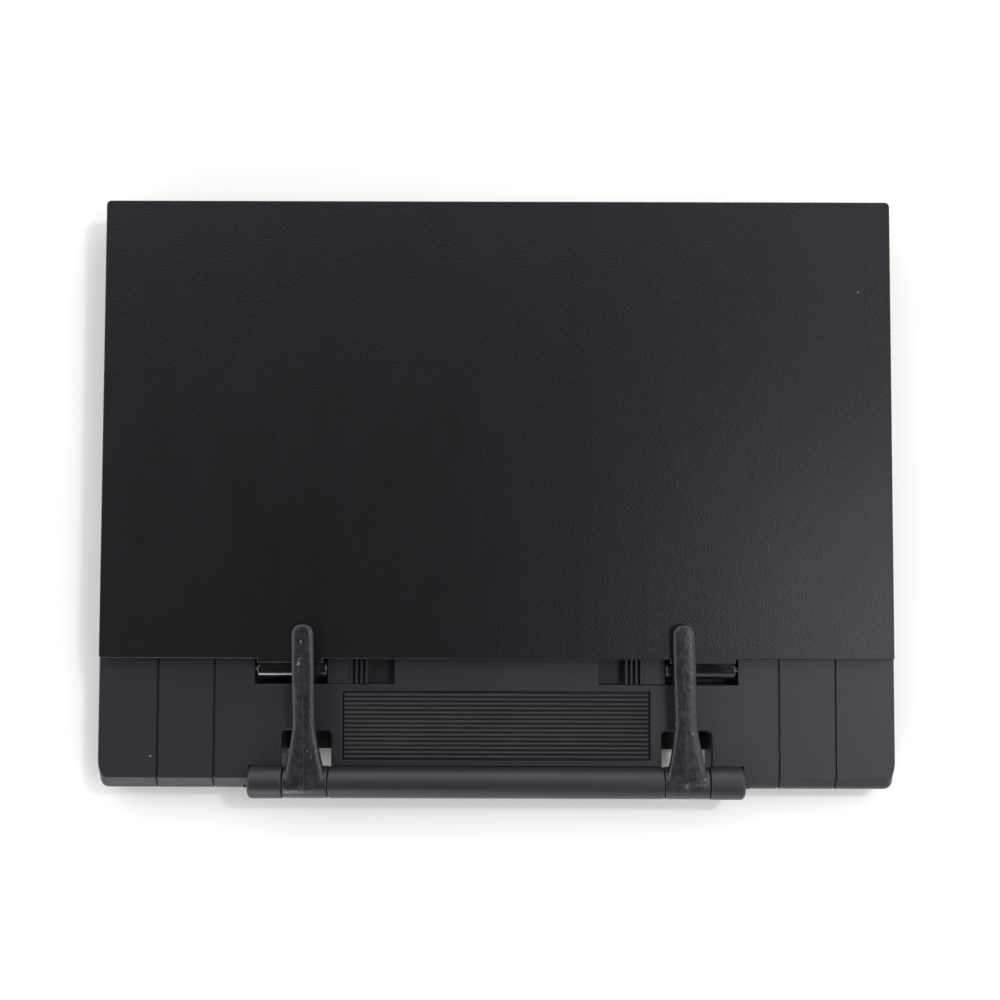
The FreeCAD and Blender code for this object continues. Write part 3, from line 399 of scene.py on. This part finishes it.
SEAM_RADIUS = 0.17 * MM
SEAM_START, SEAM_STEP, SEAM_STEPS = 36.0 * MM, 3.0 * MM, 12
SEAM_SINK = 0.06 * MM
SEAM_TURN, SEAM_TURN_STEP, SEAM_TURN_STEPS = 92.0, 9.5, 14
SEAM_BARREL_SINK = 0.04 * MM


def superellipse(turn, half_x, half_z, power):
    """A point of a squared-off oval at a turn."""
    cosine, sine = math.cos(turn), math.sin(turn)
    x = half_x * math.copysign(abs(cosine) ** (2 / power), cosine)
    z = half_z * math.copysign(abs(sine) ** (2 / power), sine)
    return x, z


def interpolate(points, at):
    """Straight-line value of a list of (place, value) pairs, rising in place."""
    for (a, va), (b, vb) in zip(points, points[1:]):
        if at <= b:
            return va + (vb - va) * max(0.0, at - a) / (b - a)
    return points[-1][1]


def finger_half_width(at):
    """Half width of the finger at a distance from the rod."""
    if at >= FLARE_END:
        return FINGER_HALF_WIDTH
    share = min(1.0, (FLARE_END - at) / (FLARE_END - FLARE_START))
    return FINGER_HALF_WIDTH + (ROOT_HALF_WIDTH - FINGER_HALF_WIDTH) * share ** FLARE_CURVE


def page_arm(side):
    """Finger that widens into the barrel on the rod, with the mould's parting line down its middle."""
    node = side + "_page_arm"
    low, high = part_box(node)
    centre_x = (low.x + high.x) / 2
    barrel_y = low.y + BARREL_RADIUS
    barrel_z = low.z + BARREL_RADIUS
    reach = high.y - barrel_y - TIP_CLEARANCE
    tops = [
        (FINGER_START, barrel_z + BARREL_RADIUS - START_SINK),
        (SHOULDER_AT, barrel_z + BARREL_RADIUS - SHOULDER_SINK),
        (CREST_AT, barrel_z + BARREL_RADIUS + CREST_RISE),
        (reach, high.z),
    ]
    unders = [
        (FINGER_START, barrel_z - START_UNDER),
        (NECK_AT, barrel_z + NECK_UNDER),
        (BEND_AT, high.z - FINGER_THICKNESS),
        (reach, high.z - FINGER_THICKNESS),
    ]
    mesh = bmesh.new()
    rings = []
    for i in range(FINGER_STATIONS + 1):
        share = i / FINGER_STATIONS
        at = FINGER_START + (reach - FINGER_START) * (1 - (1 - share) ** STATION_CROWDING)
        top = interpolate(tops, at)
        under = interpolate(unders, at)
        wide = finger_half_width(at)
        thick = (top - under) / 2
        middle = (top + under) / 2
        beyond = at - (reach - TIP_ROUND)
        if beyond > 0:
            shrink = math.sqrt(max(0.0, 1 - (beyond / TIP_ROUND) ** 2))
            wide *= TIP_WIDTH + (1 - TIP_WIDTH) * shrink ** TIP_WIDTH_POWER
            thick *= TIP_THICKNESS + (1 - TIP_THICKNESS) * shrink ** TIP_THICKNESS_POWER
        power = SECTION_POWER + SECTION_POWER_GAIN * max(0.0, 1 - max(at, 0.0) / FLARE_END)
        lean = centre_x + FINGER_LEAN[side] * max(at, 0.0) / reach
        ring = []
        for k in range(SECTION_POINTS):
            x, z = superellipse(2 * math.pi * k / SECTION_POINTS, wide, thick, power)
            ring.append(Vector((lean + x, barrel_y + at, middle + z)))
        rings.append(ring)
    loft(mesh, rings)
    add_barrel(mesh, centre_x, (high.x - low.x) / 2, barrel_y, barrel_z)
    bmesh.ops.recalc_face_normals(mesh, faces=mesh.faces)
    finished(side + "_page_arm_moulding", mesh, side + "_arm", "arm_plastic", node)
    parting_line(side, centre_x, FINGER_LEAN[side] / reach, barrel_y, barrel_z, tops)


def add_barrel(mesh, centre_x, half, y, z):
    """Round barrel with softened ends and a through bore."""
    soft = BARREL_SOFT
    outline = [(-half, BARREL_BORE), (-half, BARREL_RADIUS - soft)]
    for step in range(1, BARREL_SOFT_STEPS):
        turn = math.pi / 2 * step / BARREL_SOFT_STEPS
        outline.append((-half + soft * (1 - math.cos(turn)), BARREL_RADIUS - soft * (1 - math.sin(turn))))
    outline.append((-half + soft, BARREL_RADIUS))
    outline += [(-x, r) for x, r in reversed(outline)]
    rows = []
    for x, radius in outline:
        row = []
        for k in range(BARREL_POINTS):
            turn = 2 * math.pi * k / BARREL_POINTS
            row.append(mesh.verts.new((
                centre_x + x, y + radius * math.cos(turn), z + radius * math.sin(turn),
            )))
        rows.append(row)
    rows.append(rows[0])
    for lower, upper in zip(rows, rows[1:]):
        for k in range(BARREL_POINTS):
            j = (k + 1) % BARREL_POINTS
            mesh.faces.new((lower[k], lower[j], upper[j], upper[k]))


def parting_line(side, centre_x, lean, barrel_y, barrel_z, tops):
    """Thin raised seam over the barrel and along the lower half of the finger."""
    curve = bpy.data.curves.new(side + "_arm_seam", "CURVE")
    curve.dimensions = "3D"
    curve.bevel_depth = SEAM_RADIUS
    curve.bevel_resolution = 2
    places = []
    for step in range(SEAM_STEPS):
        at = SEAM_START - SEAM_STEP * step
        places.append((centre_x + lean * at, barrel_y + at, interpolate(tops, at) - SEAM_SINK))
    for step in range(SEAM_TURN_STEPS):
        turn = math.radians(SEAM_TURN + SEAM_TURN_STEP * step)
        size = BARREL_RADIUS - SEAM_BARREL_SINK
        places.append((centre_x, barrel_y + size * math.cos(turn), barrel_z + size * math.sin(turn)))
    spline = curve.splines.new("NURBS")
    spline.points.add(len(places) - 1)
    for point, (x, y, z) in zip(spline.points, places):
        point.co = (x, y, z, 1.0)
    spline.order_u = 3
    spline.use_endpoint_u = True
    seam = bpy.data.objects.new(side + "_arm_seam", curve)
    bpy.context.scene.collection.objects.link(seam)
    curve.materials.append(MATERIALS["arm_plastic"])
    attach(seam, side + "_arm")


for side in SIDES:
    page_arm(side)


# ---------------------------------------------------------------- stage and light

TABLE_REACH = 3.0


def make_stage():
    mesh = bmesh.new()
    bmesh.ops.create_grid(mesh, x_segments=2, y_segments=2, size=TABLE_REACH)
    data = bpy.data.meshes.new("table")
    mesh.to_mesh(data)
    mesh.free()
    table = bpy.data.objects.new("table", data)
    bpy.context.scene.collection.objects.link(table)
    data.materials.append(table_top())


def area_light(name, place, aim, size, power):
    data = bpy.data.lights.new(name, "AREA")
    data.shape = "DISK"
    data.size = size
    data.energy = power
    light = bpy.data.objects.new(name, data)
    light.location = Vector(place)
    light.rotation_mode = "QUATERNION"
    light.rotation_quaternion = (Vector(aim) - Vector(place)).to_track_quat("-Z", "Y")
    bpy.context.scene.collection.objects.link(light)
    return light


SKY_DARK_AXIS = (-0.10, -0.16, 1.0)
SKY_DARK = 0.02
SKY_BRIGHT = 1.95
SKY_DARK_UNTIL = math.radians(22.0)
SKY_BRIGHT_FROM = math.radians(54.0)
SKY_COLOUR = (1.0, 1.0, 1.0, 1.0)
DIM_CORNER_AXIS = (0.45, -0.8, 0.45)
DIM_CORNER_FROM = 0.2
DIM_CORNER_FULL = 0.95
DIM_CORNER_SHARE = 0.45


def sky_ramp(tree, direction, axis, interpolation, limits):
    """A value that runs between two limits with the cosine of the angle to an axis."""
    along = tree.nodes.new("ShaderNodeVectorMath")
    along.operation = "DOT_PRODUCT"
    along.inputs[1].default_value = Vector(axis).normalized()
    ramp = tree.nodes.new("ShaderNodeMapRange")
    ramp.interpolation_type = interpolation
    for socket, number in zip(RANGE_SOCKETS, limits):
        ramp.inputs[socket].default_value = number
    tree.links.new(direction, along.inputs[0])
    tree.links.new(along.outputs["Value"], ramp.inputs["Value"])
    return ramp.outputs["Result"]


def make_sky():
    """Dim ceiling over the table, pale walls all round it with a soft change between, one corner dimmer."""
    world = bpy.data.worlds.new("studio")
    world.use_nodes = True
    tree = world.node_tree
    direction = tree.nodes.new("ShaderNodeTexCoord").outputs["Generated"]
    ceiling = sky_ramp(tree, direction, SKY_DARK_AXIS, "SMOOTHSTEP", (
        math.cos(SKY_DARK_UNTIL), math.cos(SKY_BRIGHT_FROM), SKY_DARK, SKY_BRIGHT,
    ))
    corner = sky_ramp(tree, direction, DIM_CORNER_AXIS, "LINEAR", (
        DIM_CORNER_FROM, DIM_CORNER_FULL, 1.0, DIM_CORNER_SHARE,
    ))
    product = tree.nodes.new("ShaderNodeMath")
    product.operation = "MULTIPLY"
    tree.links.new(ceiling, product.inputs[0])
    tree.links.new(corner, product.inputs[1])
    background = tree.nodes["Background"]
    background.inputs["Color"].default_value = SKY_COLOUR
    tree.links.new(product.outputs["Value"], background.inputs["Strength"])
    bpy.context.scene.world = world


KEY_LIGHT = {"place": (0.496, 0.274, 0.877), "aim": (0.0, 0.0, 0.0), "size": 0.09, "power": 2.6}
GLARE_LIGHT = {"place": (0.55, -0.16, 0.95), "aim": (0.16, -0.06, 0.0), "size": 0.36, "power": 2.0}
FRONT_LIGHT = {"place": (-0.42, -1.15, 0.42), "aim": (0.0, -0.1, 0.02), "size": 0.26, "power": 2.3}


def make_light():
    key = area_light("key", **KEY_LIGHT)
    key.visible_glossy = False
    area_light("glare", **GLARE_LIGHT)
    area_light("front", **FRONT_LIGHT)
    make_sky()


make_stage()
make_light()
bpy.context.scene.view_settings.view_transform = "Standard"
